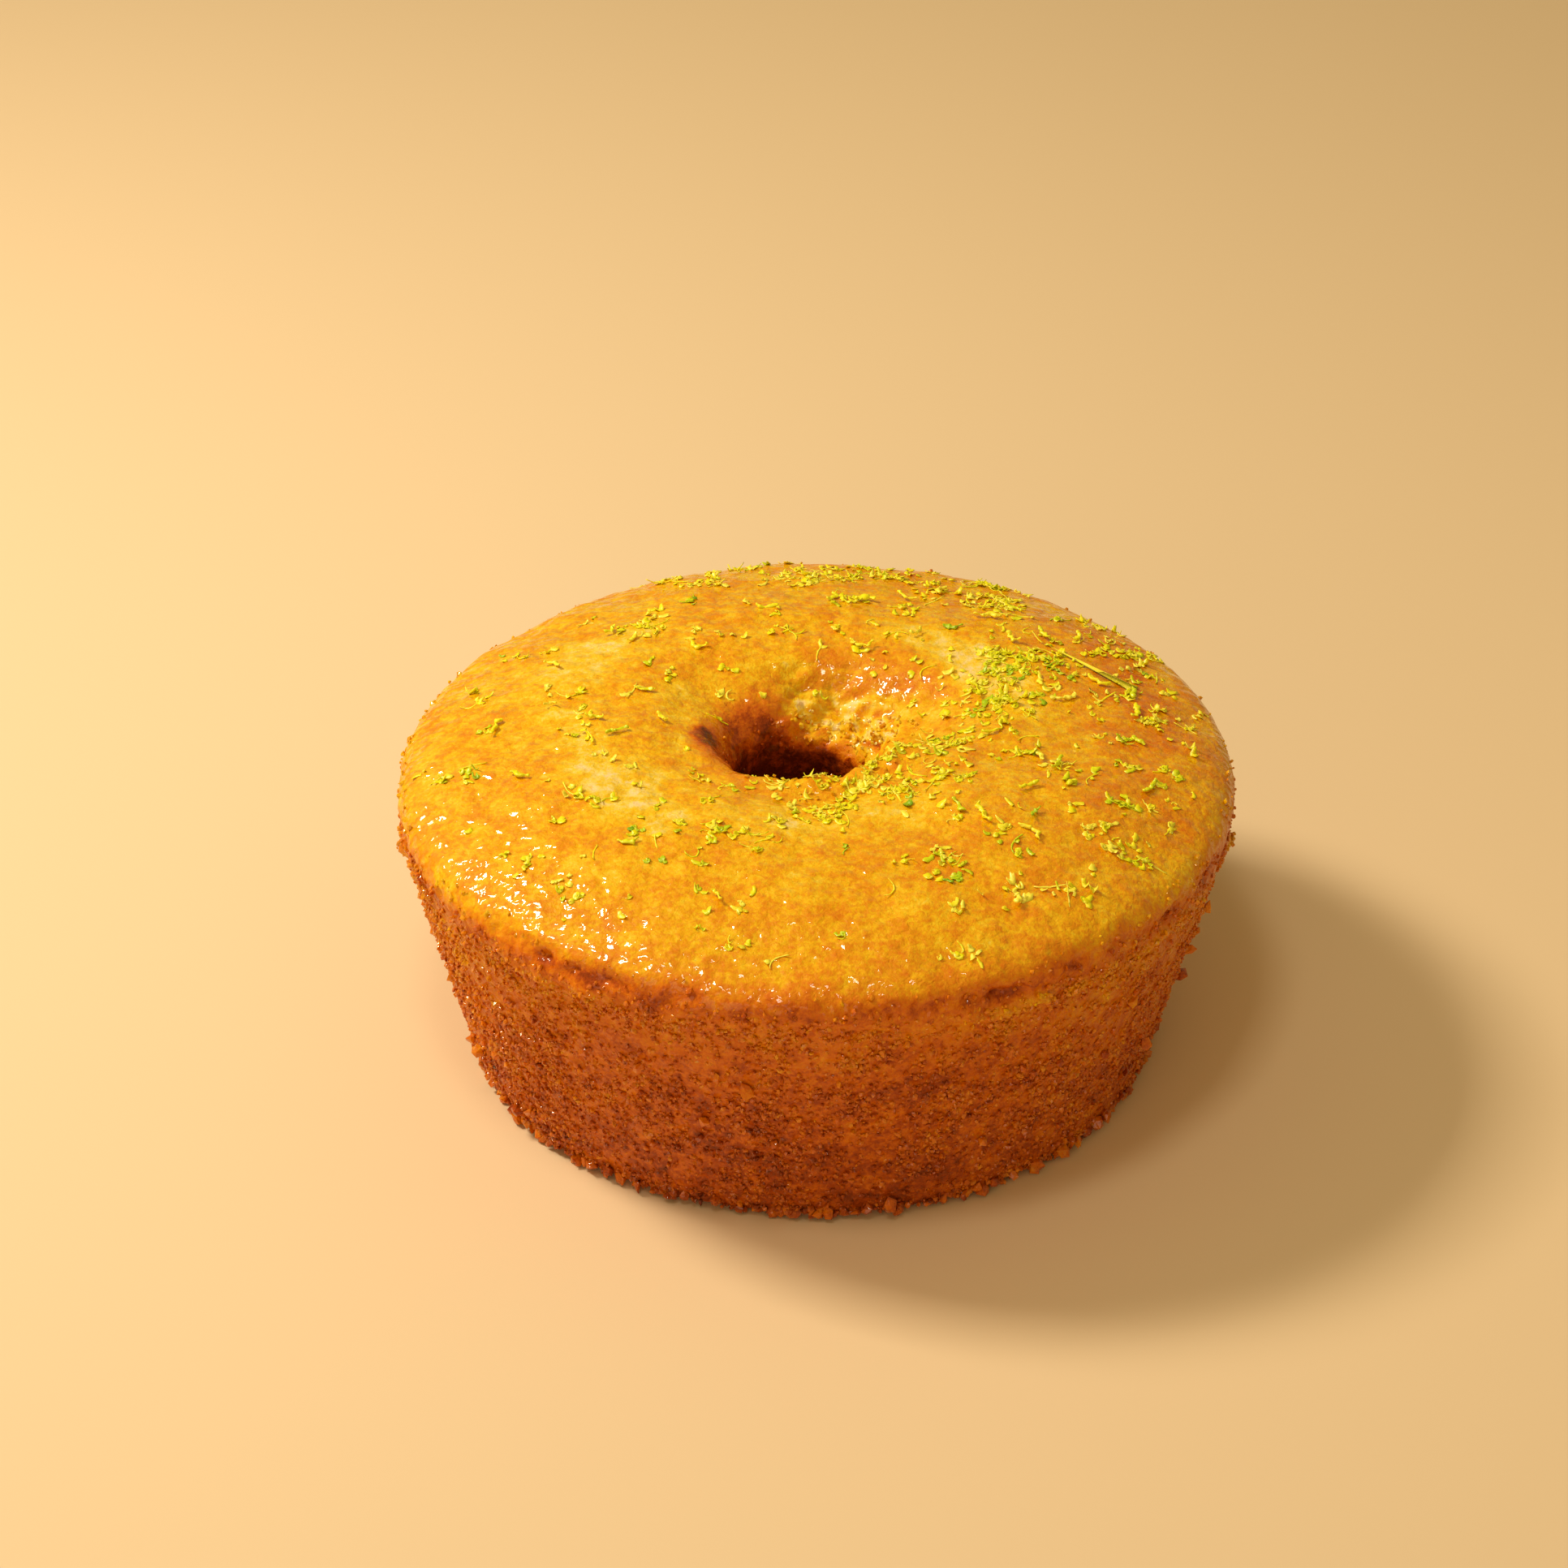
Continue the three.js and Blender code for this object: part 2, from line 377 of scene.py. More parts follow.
@dataclass(frozen=True)
class TornHole:
    """The torn crumb at the back right of the hole, where the pan's tube pulled away, and the lip."""

    angle: float = math.radians(76)
    half_angle: float = math.radians(50)
    middle: float = 76 * MM
    half_height: float = 10.5 * MM
    waver: float = 2 * MM
    waver_size: float = 6 * MM
    depth: float = 1.7 * MM
    lump: float = 3.6 * MM
    lump_height: float = 2.0 * MM
    lip_radius: float = 19 * MM
    lip_half_width: float = 9 * MM
    lip_levels: tuple[float, float] = (62 * MM, 74 * MM)
    lip_height: float = 1.6 * MM
    lip_lumps: tuple[float, float] = (4.5 * MM, 2.4 * MM)
    lip_front: float = math.radians(-80)
    lip_front_reach: tuple[float, float] = (math.radians(40), math.radians(90))

    def torn(self, point: RingPoint) -> float:
        """How torn the crumb is, from 0 to 1."""
        if point.hole_radius > 2 * self.lip_radius:
            return 0.0
        around = near(point.hole_angle, self.angle, 0.5 * self.half_angle, self.half_angle)
        middle = self.middle + self.waver * cloud(point.place, self.waver_size, 4.0)
        up = hump(middle, self.half_height, point.place.z)
        return around * min(1.0, 1.6 * up)

    def height(self, point: RingPoint) -> float:
        """Hollows and roughens the torn patch, and makes the lip uneven all round."""
        torn = self.torn(point)
        rough = cloud(point.place, self.lump, 2.2) + 0.6 * cloud(point.place, self.lump / 2, 9.9)
        lip = hump(self.lip_radius, self.lip_half_width, point.hole_radius)
        lip *= ease(*self.lip_levels, point.place.z)
        front = near(point.hole_angle, self.lip_front, *self.lip_front_reach)
        coarse, fine = self.lip_lumps
        ragged = front + cloud(point.place, coarse, 7.7) + 0.5 * cloud(point.place, fine, 0.6)
        return torn * (self.lump_height * rough - self.depth) + lip * self.lip_height * ragged


@dataclass(frozen=True)
class FunnelSlope:
    """The broad dip towards the hole on its back right, where the syrup ran in."""

    angle: float = math.radians(52)
    half_angle: float = math.radians(75)
    outer: float = 47 * MM
    inner: float = 24 * MM
    depth: float = 3.0 * MM
    facing_up: tuple[float, float] = (0.2, 0.7)

    def height(self, point: RingPoint) -> float:
        """Lowers the top towards the hole."""
        if point.hole_radius > self.outer:
            return 0.0
        around = near(point.hole_angle, self.angle, 0.4 * self.half_angle, self.half_angle)
        up = ease(*self.facing_up, point.facing.z)
        return -self.depth * around * up * ease(self.outer, self.inner, point.hole_radius)


@dataclass(frozen=True)
class RaggedFoot:
    """The crumbling lower edge of the ring."""

    height_above: float = 5 * MM
    lump: float = 5 * MM
    stand_out: float = 1.6 * MM
    facing_aside: tuple[float, float] = (0.8, 0.3)

    def height(self, point: RingPoint) -> float:
        """Makes the foot's edge uneven."""
        low = ease(self.height_above, 1 * MM, point.place.z)
        low *= ease(*self.facing_aside, abs(point.facing.z))
        return low * self.stand_out * cloud(point.place, self.lump, 11.0)


@dataclass(frozen=True)
class TopPatch:
    """A patch of the top drawn paler or browner, most where the oven browned it less or more and one as
    painted shade: degrees round the ring, and millimetres.
    """

    angle: float
    radius: float
    half_angle: float
    half_width: float
    tone: float
    warp_size: float = 13 * MM

    def shift(self, point: RingPoint) -> float:
        """How much the patch changes the browning at a point."""
        warp = cloud(point.place, self.warp_size, 4.4)
        around = turn_between(point.angle, math.radians(self.angle)) / math.radians(self.half_angle)
        across = (point.radius - self.radius * MM) / (self.half_width * MM)
        return self.tone * ease(1.0, 0.25, math.hypot(around, across) + 0.45 * warp)


@dataclass(frozen=True)
class BrowningAndShade:
    """How far the oven took the crust, with painted shade and light laid on it: 0 is pale crumb, 0.3 a
    golden top and 1 a dark crust.
    """

    ring: Ring
    hole_tear: TornHole = TornHole()
    crease: ShoulderCrease = ShoulderCrease()
    edge_drop: float = 1.5 * MM
    edge_wrap: float = 5 * MM
    edge_waver: float = 1.6 * MM
    edge_waver_size: float = 12 * MM
    wrap_from: tuple[float, float] = (0.45, 0.9)
    wrap_mean: float = 0.75
    wrap_to_left: float = 0.25
    below_edge: tuple[tuple[float, float], ...] = (
        (-9 * MM, 0.33),
        (-2.5 * MM, 0.36),
        (0.5 * MM, 0.46),
        # the darker band 3 to 6 mm under the edge is partly the crust's own colour and partly painted
        # shade under the overhanging rim
        (3 * MM, 0.63),
        (6 * MM, 0.68),
        (11 * MM, 0.6),
        (30 * MM, 0.71),
        (52 * MM, 0.76),
        (74 * MM, 0.79),
    )
    below_crown: tuple[tuple[float, float], ...] = (
        (3 * MM, 0.34),
        (9 * MM, 0.42),
        (16 * MM, 0.6),
        (30 * MM, 0.82),
    )
    paler_sides: tuple[float, ...] = (math.radians(-20), math.radians(-165))
    paler_reach: tuple[float, float] = (math.radians(15), math.radians(60))
    paler_below: tuple[float, float] = (2 * MM, 9 * MM)
    paler_by: float = 0.08
    # painted shade darkens the crease, and painted light lightens the ledge of crumb below it
    crease_painted_shade: float = 0.16
    ledge_painted_light: float = 0.12
    hole_brown_side: float = math.radians(138)
    hole_brown_reach: tuple[float, float] = (math.radians(35), math.radians(92))
    hole_brown: float = 0.3
    hole_blotch: float = 0.8
    hole_blotch_size: float = 5 * MM
    hole_blend: tuple[float, float] = (36 * MM, 26 * MM)
    torn_tone: float = 0.25
    torn_mottle: float = 0.44
    torn_lump: float = 2.6 * MM
    facing_up: tuple[float, float] = (0.25, 0.7)
    patch_mottle: float = 0.9
    patch_mottle_size: float = 3.2 * MM
    mottle_sizes: tuple[float, float] = (7 * MM, 20 * MM)
    mottle: tuple[float, float] = (0.07, 0.06)
    patches: tuple[TopPatch, ...] = (  # angle, radius, half angle, half width and tone
        TopPatch(-152, 56, 40, 14, -0.21),
        TopPatch(152, 68, 28, 14, -0.16),
        TopPatch(34, 53, 40, 13, -0.2),
        TopPatch(-86, 40, 56, 12, -0.09),
        TopPatch(24, 84, 34, 12, 0.12),
        TopPatch(-62, 64, 26, 14, 0.06),
        TopPatch(64, 38, 44, 9, 0.12),
        # painted shade: the right of the top is drawn darker where the light falls away from it
        TopPatch(2, 80, 54, 26, 0.1),
        TopPatch(175, 27.5, 13, 4.5, 0.34),
    )

    def on_wall(self, point: RingPoint) -> float:
        """The browning of the wall, which is darkest in the band under the edge and at the foot; the
        band is partly the crust's own colour and partly painted shade under the overhanging rim, and the
        crease adds painted shade and its ledge painted light.

        The golden top wraps further down on the left than on the right.
        """
        across = math.cos(point.angle)
        wrap = ease(*self.wrap_from, abs(across)) * (self.wrap_mean - self.wrap_to_left * across)
        edge = self.ring.edge - self.edge_drop - self.edge_wrap * wrap
        edge += self.edge_waver * cloud(point.place, self.edge_waver_size, 0.4)
        depth = edge - point.place.z
        # painted shade in the crease, and painted light on the ledge of crumb below it
        crease = self.crease_painted_shade * self.crease.along(point, 0.0)
        ledge = self.ledge_painted_light * self.crease.along(point, self.crease.ledge_drop)
        sides = (near(point.angle, side, *self.paler_reach) for side in self.paler_sides)
        paler = self.paler_by * sum(sides) * ease(*self.paler_below, depth)
        return along_stops(self.below_edge, depth) + crease - ledge - paler

    def in_hole(self, point: RingPoint) -> float:
        """The browning of the funnel and the hole's wall, with pale crumb where it tore."""
        depth = self.ring.top - point.place.z
        back_left = near(point.hole_angle, self.hole_brown_side, *self.hole_brown_reach)
        blotch = self.hole_blotch * cloud(point.place, self.hole_blotch_size, 3.0)
        blotched = ease(0.0, 5 * MM, depth) * (1 + blotch)
        browned = along_stops(self.below_crown, depth) + back_left * self.hole_brown * blotched
        pale = self.torn_tone + self.torn_mottle * cloud(point.place, self.torn_lump, 5.0)
        return browned + (pale - browned) * self.hole_tear.torn(point)

    def at(self, point: RingPoint) -> float:
        """The browning at a point, painted shade and light included, from 0 to 1."""
        if point.facing.z < -0.8:
            return self.below_edge[-1][1]
        in_hole = ease(*self.hole_blend, point.hole_radius)
        on_wall = self.on_wall(point)
        tone = on_wall + in_hole * (self.in_hole(point) - on_wall)
        spots = self.patch_mottle * cloud(point.place, self.patch_mottle_size, 6.6)
        on_top = ease(*self.facing_up, point.facing.z) * (1 + spots)
        shifts = sum(patch.shift(point) for patch in self.patches) if on_top > 0 else 0.0
        fine, broad = self.mottle_sizes
        mottle = self.mottle[0] * cloud(point.place, fine, 2.0)
        mottle += self.mottle[1] * cloud(point.place, broad, 7.0)
        return min(1.0, max(0.0, tone + on_top * shifts + mottle))


@dataclass(frozen=True)
class Syrup:
    """Where the syrup left the crust wet: 1 is a soaked, shiny top and 0 is dry crumb."""

    ring: Ring
    dry: float = 0.2
    lip: tuple[float, float] = (22 * MM, 27 * MM)
    pool_radius: float = 38 * MM
    pool_half_width: float = 11 * MM
    pool_angle: float = 0.8
    pool_reach: tuple[float, float] = (0.4, 1.0)
    patch_size: float = 9 * MM
    above_edge: tuple[float, float] = (-6 * MM, 1 * MM)
    soaked: float = 0.6
    pooled_more: float = 0.4
    patchiness: float = 0.5

    def at(self, point: RingPoint) -> float:
        """The wetness at a point, from 0 to 1, most where syrup pooled at the hole's back right."""
        start, end = (self.ring.edge + step for step in self.above_edge)
        on_top = ease(start, end, point.place.z)
        off_lip = ease(*self.lip, point.hole_radius)
        pooled = hump(self.pool_radius, self.pool_half_width, point.hole_radius)
        pooled *= near(point.hole_angle, self.pool_angle, *self.pool_reach)
        patches = self.patchiness * cloud(point.place, self.patch_size, 1.1)
        patchy = self.soaked + self.pooled_more * pooled + patches
        return min(1.0, max(0.0, self.dry + on_top * off_lip * patchy))


@dataclass(frozen=True)
class BakedCrust:
    """Baked butter cake soaked with citrus syrup.

    It gives the eye a golden to red-brown open crumb, mottled by the oven, under a thin film of syrup
    whose ripples catch the light as separate glints. Sucrose syrup has an IOR of about 1.45. Real crumb
    has grains of about 1 mm, and these are a little coarser so that they still show from a metre away.
    """

    name: str = "syrup_soaked_baked_crumb"
    grain: float = 1.3 * MM
    ripple: float = 2.5 * MM
    fleck: float = 1.5 * MM
    blotch: float = 5 * MM
    grain_height: float = 0.42 * MM
    ripple_height: float = 1.1 * MM
    crumb_ripple: float = 0.45
    blotch_share: float = 0.52
    fleck_share: float = 0.44
    base_roughness: tuple[float, float] = (0.6, 0.4)
    film_weight: tuple[float, float] = (0.45, 1.0)
    ior: float = 1.45
    stops: tuple[tuple[float, str], ...] = (
        (0.0, "#F6D692"),
        (0.1, "#F2D05C"),
        (0.2, "#F0C41C"),
        (0.3, "#EBB000"),
        (0.4, "#E29600"),
        (0.52, "#DC8000"),
        (0.66, "#CE6600"),
        (0.8, "#A64400"),
        (1.0, "#5C1E00"),
    )

    def material(self) -> bpy.types.Material:
        """Builds the crust's material on object places and the piece's own browning, with its painted
        shade and light, and syrup.
        """
        made = bpy.data.materials.new(self.name)
        made.use_nodes = True
        tree = made.node_tree
        shader = tree.nodes["Principled BSDF"]
        place = add_node(tree, "ShaderNodeTexCoord").outputs["Object"]
        browning_and_shade = add_node(tree, "ShaderNodeAttribute", attribute_name="browning_and_shade").outputs["Fac"]
        syrup = add_node(tree, "ShaderNodeAttribute", attribute_name="syrup").outputs["Fac"]
        blotch, fleck, ripple, grain = (
            add_node(tree, "ShaderNodeTexNoise", {"Vector": place, **shape}).outputs["Fac"]
            for shape in (
                {"Scale": 1 / self.blotch, "Detail": 5.0, "Roughness": 0.62},
                {"Scale": 1 / self.fleck, "Detail": 2.0, "Distortion": 0.8},
                {"Scale": 1 / self.ripple, "Detail": 0.5},
                {"Scale": 1 / self.grain, "Detail": 3.0, "Roughness": 0.6, "Distortion": 0.4},
            )
        )
        tone = browning_and_shade
        for pattern, share in ((blotch, self.blotch_share), (fleck, self.fleck_share)):
            shift = add_node(
                tree,
                "ShaderNodeMath",
                {0: pattern, 1: share, 2: -share / 2},
                operation="MULTIPLY_ADD",
            ).outputs[0]
            tone = add_node(tree, "ShaderNodeMath", {0: tone, 1: shift}, operation="ADD").outputs[0]
        ramp = add_node(tree, "ShaderNodeValToRGB", {"Fac": tone})
        set_ramp(ramp, self.stops)
        for socket, (dry, soaked) in (
            ("Roughness", self.base_roughness),
            ("Coat Weight", self.film_weight),
        ):
            by_syrup = add_node(
                tree,
                "ShaderNodeMapRange",
                {"Value": syrup, "From Min": Syrup.dry, "To Min": dry, "To Max": soaked},
            )
            feed(tree, shader, {socket: by_syrup.outputs["Result"]})
        film, crumb = (
            add_node(
                tree,
                "ShaderNodeBump",
                {"Height": ripple, "Strength": strength, "Distance": self.ripple_height},
            ).outputs["Normal"]
            for strength in (1.0, self.crumb_ripple)
        )
        bump = add_node(
            tree,
            "ShaderNodeBump",
            {"Height": grain, "Strength": 1.0, "Distance": self.grain_height, "Normal": crumb},
        )
        look = {
            "Base Color": ramp.outputs["Color"],
            "Normal": bump.outputs["Normal"],
            "Coat Normal": film,
            "IOR": self.ior,
            "Coat IOR": self.ior,
            "Coat Roughness": 0.05,
            "Specular IOR Level": 0.12,
            "Subsurface Weight": 0.18,
            "Subsurface Radius": (1.0, 0.45, 0.12),
            "Subsurface Scale": 2.5 * MM,
        }
        feed(tree, shader, look)
        return made


@dataclass(frozen=True)
class CitrusPeel:
    """Freshly grated lime and lemon peel.

    It gives the eye bright, waxy scraps from lemon yellow to leaf green, paler where they were cut, with
    the small bumps of the oil glands.
    """

    name: str = "grated_citrus_peel"
    gland: float = 0.7 * MM
    gland_height: float = 0.08 * MM
    stops: tuple[tuple[float, str], ...] = (
        (0.0, "#FFF04A"),
        (0.25, "#FAEA00"),
        (0.55, "#E2E400"),
        (0.8, "#B8D200"),
        (1.0, "#82B010"),
    )

    def material(self) -> bpy.types.Material:
        """Builds the peel's material on object places and each scrap's own greenness."""
        made = bpy.data.materials.new(self.name)
        made.use_nodes = True
        tree = made.node_tree
        shader = tree.nodes["Principled BSDF"]
        place = add_node(tree, "ShaderNodeTexCoord").outputs["Object"]
        green = add_node(tree, "ShaderNodeAttribute", attribute_name="green").outputs["Fac"]
        glands = add_node(
            tree, "ShaderNodeTexNoise", {"Vector": place, "Scale": 1 / self.gland, "Detail": 3.0}
        ).outputs["Fac"]
        varied = add_node(
            tree, "ShaderNodeMath", {0: glands, 1: 0.5, 2: -0.25}, operation="MULTIPLY_ADD"
        )
        tone = add_node(tree, "ShaderNodeMath", {0: green, 1: varied.outputs[0]}, operation="ADD")
        ramp = add_node(tree, "ShaderNodeValToRGB", {"Fac": tone.outputs[0]})
        set_ramp(ramp, self.stops)
        bump = add_node(
            tree,
            "ShaderNodeBump",
            {"Height": glands, "Strength": 0.8, "Distance": self.gland_height},
        )
        look = {
            "Base Color": ramp.outputs["Color"],
            "Normal": bump.outputs["Normal"],
            "Roughness": 0.38,
            "Subsurface Weight": 0.2,
            "Subsurface Radius": (1.0, 0.8, 0.15),
            "Subsurface Scale": 0.6 * MM,
        }
        feed(tree, shader, look)
        return made


@dataclass
class BakedRing:
    """The baked ring: a fine skin grown on the CAD ring, with its relief, browning with painted shade
    and light, and syrup.
    """

    ring: Ring
    browning_and_shade: BrowningAndShade
    syrup: Syrup
    finish: bpy.types.Material
    reliefs: tuple[Relief, ...] = (
        Blisters(),
        WallCrumb(),
        ShoulderCrease(),
        TornHole(),
        FunnelSlope(),
        RaggedFoot(),
    )
    cell: float = 1.21 * MM

    def skin(self) -> bpy.types.Mesh:
        """Smooths a merged copy of the CAD ring and gives it an even net of faces.

        Returns:
            The fine mesh, with the modifiers applied.
        """
        bm = merged_copy(RING_NODE)
        mesh = bpy.data.meshes.new("coarse_ring")
        bm.to_mesh(mesh)
        bm.free()
        coarse = bpy.data.objects.new("coarse_ring", mesh)
        bpy.context.scene.collection.objects.link(coarse)
        rounding = coarse.modifiers.new("rounding", "SUBSURF")
        rounding.levels = 2
        rounding.render_levels = 2
        net = coarse.modifiers.new("net", "REMESH")
        net.mode = "VOXEL"
        net.voxel_size = self.cell
        evaluated = coarse.evaluated_get(bpy.context.evaluated_depsgraph_get())
        fine = bpy.data.meshes.new_from_object(evaluated)
        bpy.data.objects.remove(coarse)
        bpy.data.meshes.remove(mesh)
        return fine

    def build(self) -> bpy.types.Object:
        """Builds the ring, which stands for its CAD solid."""
        bm = bmesh.new()
        bm.from_mesh(self.skin())
        bmesh.ops.smooth_vert(
            bm, verts=bm.verts, factor=0.5, use_axis_x=True, use_axis_y=True, use_axis_z=True
        )
        bm.normal_update()
        points = [self.ring.point(v.co, v.normal) for v in bm.verts]
        for vert, point in zip(bm.verts, points):
            vert.co += vert.normal * sum(relief.height(point) for relief in self.reliefs)
            vert.co.z = max(0.0, vert.co.z)
        bm.normal_update()
        piece = finish_piece("baked_ring", bm, self.finish)
        write_attribute(piece.data, "browning_and_shade", [self.browning_and_shade.at(point) for point in points])
        write_attribute(piece.data, "syrup", [self.syrup.at(point) for point in points])
        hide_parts(RING_NODE)
        return piece


class CrumbZone(Enum):
    """The parts of the crust that carry standing crumbs, each made as one piece."""

    WALL_LEFT = "wall_crumb_left"
    WALL_FRONT = "wall_crumb_front"
    WALL_RIGHT = "wall_crumb_right"
    WALL_BACK = "wall_crumb_back"
    FOOT = "foot_crumb"
    STRAY = "stray_crumb"
    HOLE = "hole_crumb"


@dataclass(frozen=True)
class CrumbSowing:
    """How many crumbs a zone gets, how large and brown they are, and where they lie thickest."""

    zone: CrumbZone
    count: int
    sizes: tuple[float, float]
    sunk: float
    tone_shift: float
    tone_spread: float
    weight: Callable[[RingPoint], float]


@dataclass
class CrumbCoat:
    """The small crumbs that stand on the crust, each an uneven grain sunk part of the way in."""

    ring: Ring
    browning_and_shade: BrowningAndShade
    syrup: Syrup
    finish: bpy.types.Material
    crust: bpy.types.Object
    batch: int = 250
    squash: tuple[float, float] = (0.5, 1.0)
    unevenness: float = 0.4
    extra_wet: float = 0.45
    stray_shift: float = 0.5 * MM
    clear_of_base: float = 0.05 * MM
    outside: float = 80 * MM
    wall_outside: float = 75 * MM
    wall_facing: float = 0.75
    patch_size: float = 14 * MM
    patch_edge: tuple[float, float] = (-0.3, 0.4)
    between_patches: float = 0.3
    below_edge: tuple[float, float] = (4 * MM, 14 * MM)
    at_edge: float = 0.15
    foot_height: float = 3.5 * MM
    stray_height: float = 50 * MM
    stray_facing: float = 0.6
    hole_reach: float = 27 * MM
    hole_weights: tuple[float, float, float] = (0.1, 0.3, 2.5)
    seed: int = 5

    def wall(self, centre: float) -> Callable[[RingPoint], float]:
        """Makes the weight of a quarter of the wall round an angle in degrees."""

        def weight(point: RingPoint) -> float:
            """Is 1 on this quarter of the wall and 0 elsewhere."""
            quarter = turn_between(point.angle, math.radians(centre)) < math.radians(45)
            aside = abs(point.facing.z) < self.wall_facing
            if not (quarter and aside and point.radius > self.wall_outside):
                return 0.0
            start, end = (self.ring.edge - drop for drop in self.below_edge)
            below = ease(start, end, point.place.z)
            patch = ease(*self.patch_edge, cloud(point.place, self.patch_size, 3.3))
            thick = self.between_patches + (1 - self.between_patches) * patch
            return (self.at_edge + (1 - self.at_edge) * below) * thick

        return weight

    def foot(self, point: RingPoint) -> float:
        """The weight along the ring's lower edge."""
        low = point.place.z < self.foot_height and point.facing.z > -0.8
        return float(low and point.radius > self.outside)

    def stray(self, point: RingPoint) -> float:
        """The weight of the few large crumbs that stick out of the lower wall."""
        aside = point.place.z < self.stray_height and abs(point.facing.z) < self.stray_facing
        return float(aside and point.radius > self.outside)

    def hole(self, point: RingPoint) -> float:
        """The weight in the hole, mostly on the torn crumb and the lip."""
        if point.hole_radius > self.hole_reach or point.facing.z < -0.5:
            return 0.0
        tear = self.browning_and_shade.hole_tear
        everywhere, on_lip, on_tear = self.hole_weights
        lip = ease(*tear.lip_levels, point.place.z)
        return everywhere + on_lip * lip + on_tear * tear.torn(point)

    def sowings(self) -> list[CrumbSowing]:
        """Lists every zone with its crumbs."""
        rows = (
            (CrumbZone.WALL_LEFT, 8200, 0.45, 1.05, 0.48, -0.03, 0.055, self.wall(180)),
            (CrumbZone.WALL_FRONT, 8200, 0.4, 0.95, 0.52, -0.03, 0.055, self.wall(-90)),
            (CrumbZone.WALL_RIGHT, 7000, 0.35, 0.85, 0.54, -0.02, 0.05, self.wall(0)),
            (CrumbZone.WALL_BACK, 7400, 0.4, 0.95, 0.52, -0.03, 0.055, self.wall(90)),
            (CrumbZone.FOOT, 800, 0.6, 1.9, 0.25, -0.03, 0.07, self.foot),
            (CrumbZone.STRAY, 90, 1.0, 2.3, 0.2, -0.03, 0.06, self.stray),
            (CrumbZone.HOLE, 420, 0.4, 1.0, 0.6, -0.05, 0.05, self.hole),
        )
        return [
            CrumbSowing(zone, count, (least * MM, most * MM), *rest)
            for zone, count, least, most, *rest in rows
        ]

    def sow(self, sowing: CrumbSowing, rng: random.Random) -> bpy.types.Object:
        """Makes one zone's crumbs as one piece.

        Args:
            sowing: the zone and its crumbs.
            rng: the seeded source of chance.

        Returns:
            The piece of crumbs.
        """
        faces = self.crust.data.polygons
        points = [self.ring.point(f.center, f.normal) for f in faces]
        weights = [sowing.weight(p) * f.area for p, f in zip(points, faces)]
        chosen = rng.choices(points, weights, k=sowing.count)
        bm = bmesh.new()
        tones: list[float] = []
        wets: list[float] = []
        for start in range(0, sowing.count, self.batch):
            small = bmesh.new()
            for point in chosen[start : start + self.batch]:
                before = len(small.verts)
                self.add_grain(small, point, sowing, rng)
                grown = len(small.verts) - before
                shade = self.browning_and_shade.at(point) + rng.gauss(sowing.tone_shift, sowing.tone_spread)
                tones.extend([shade] * grown)
                wets.extend([min(1.0, self.syrup.at(point) + self.extra_wet)] * grown)
            mesh = bpy.data.meshes.new("grains")
            small.to_mesh(mesh)
            small.free()
            bm.from_mesh(mesh)
            bpy.data.meshes.remove(mesh)
        piece = finish_piece(sowing.zone.value, bm, self.finish, smooth=False)
        write_attribute(piece.data, "browning_and_shade", tones)
        write_attribute(piece.data, "syrup", wets)
        return piece

    def add_grain(
        self, bm: bmesh.types.BMesh, point: RingPoint, sowing: CrumbSowing, rng: random.Random
    ) -> None:
        """Adds one grain, turned and squashed at random and kept above the base.

        Args:
            bm: the batch that the grain joins.
            point: where it sits on the crust.
            sowing: its zone, for its size.
            rng: the seeded source of chance.
        """
        low, high = sowing.sizes
        radius = low + (high - low) * rng.random() ** 2
        aside = Vector((rng.uniform(-1, 1), rng.uniform(-1, 1), rng.uniform(-1, 1)))
        aside *= self.stray_shift
        place = point.place + aside + point.facing * radius * (1 - 2 * sowing.sunk)
        place.z = max(place.z, radius)
        turn = rng.uniform(0, math.tau)
        turned = Matrix.Rotation(turn, 4, Vector((rng.random(), rng.random(), 1.0)))
        shape = Matrix.Diagonal((rng.uniform(*self.squash), rng.uniform(*self.squash), 1.0, 1.0))
        made = bmesh.ops.create_icosphere(
            bm, subdivisions=1, radius=radius, matrix=Matrix.Translation(place) @ turned @ shape
        )
        for vert in made["verts"]:
            vert.co += (vert.co - place) * rng.uniform(-self.unevenness, self.unevenness)
            vert.co.z = max(self.clear_of_base, vert.co.z)

    def build(self) -> list[bpy.types.Object]:
        """Builds every zone's crumbs."""
        rng = random.Random(self.seed)
        return [self.sow(sowing, rng) for sowing in self.sowings()]


class PeelCut(Enum):
    """How a scrap of peel came off the grater."""

    FLAKE = "flake"
    THREAD = "thread"


@dataclass(frozen=True)
class CutSizes:
    """The sizes that one kind of scrap comes in."""

    lengths: tuple[float, float]
    widths: tuple[float, float]
    thickness: float
    rise: float
    crumple: float
    columns: int
    rows: int


@dataclass(frozen=True)
class PeelFall:
    """A place where grated peel fell thickly: degrees round the ring, and millimetres."""

    angle: float
    radius: float
    spread: float
    count: int
    green: float = 0.2


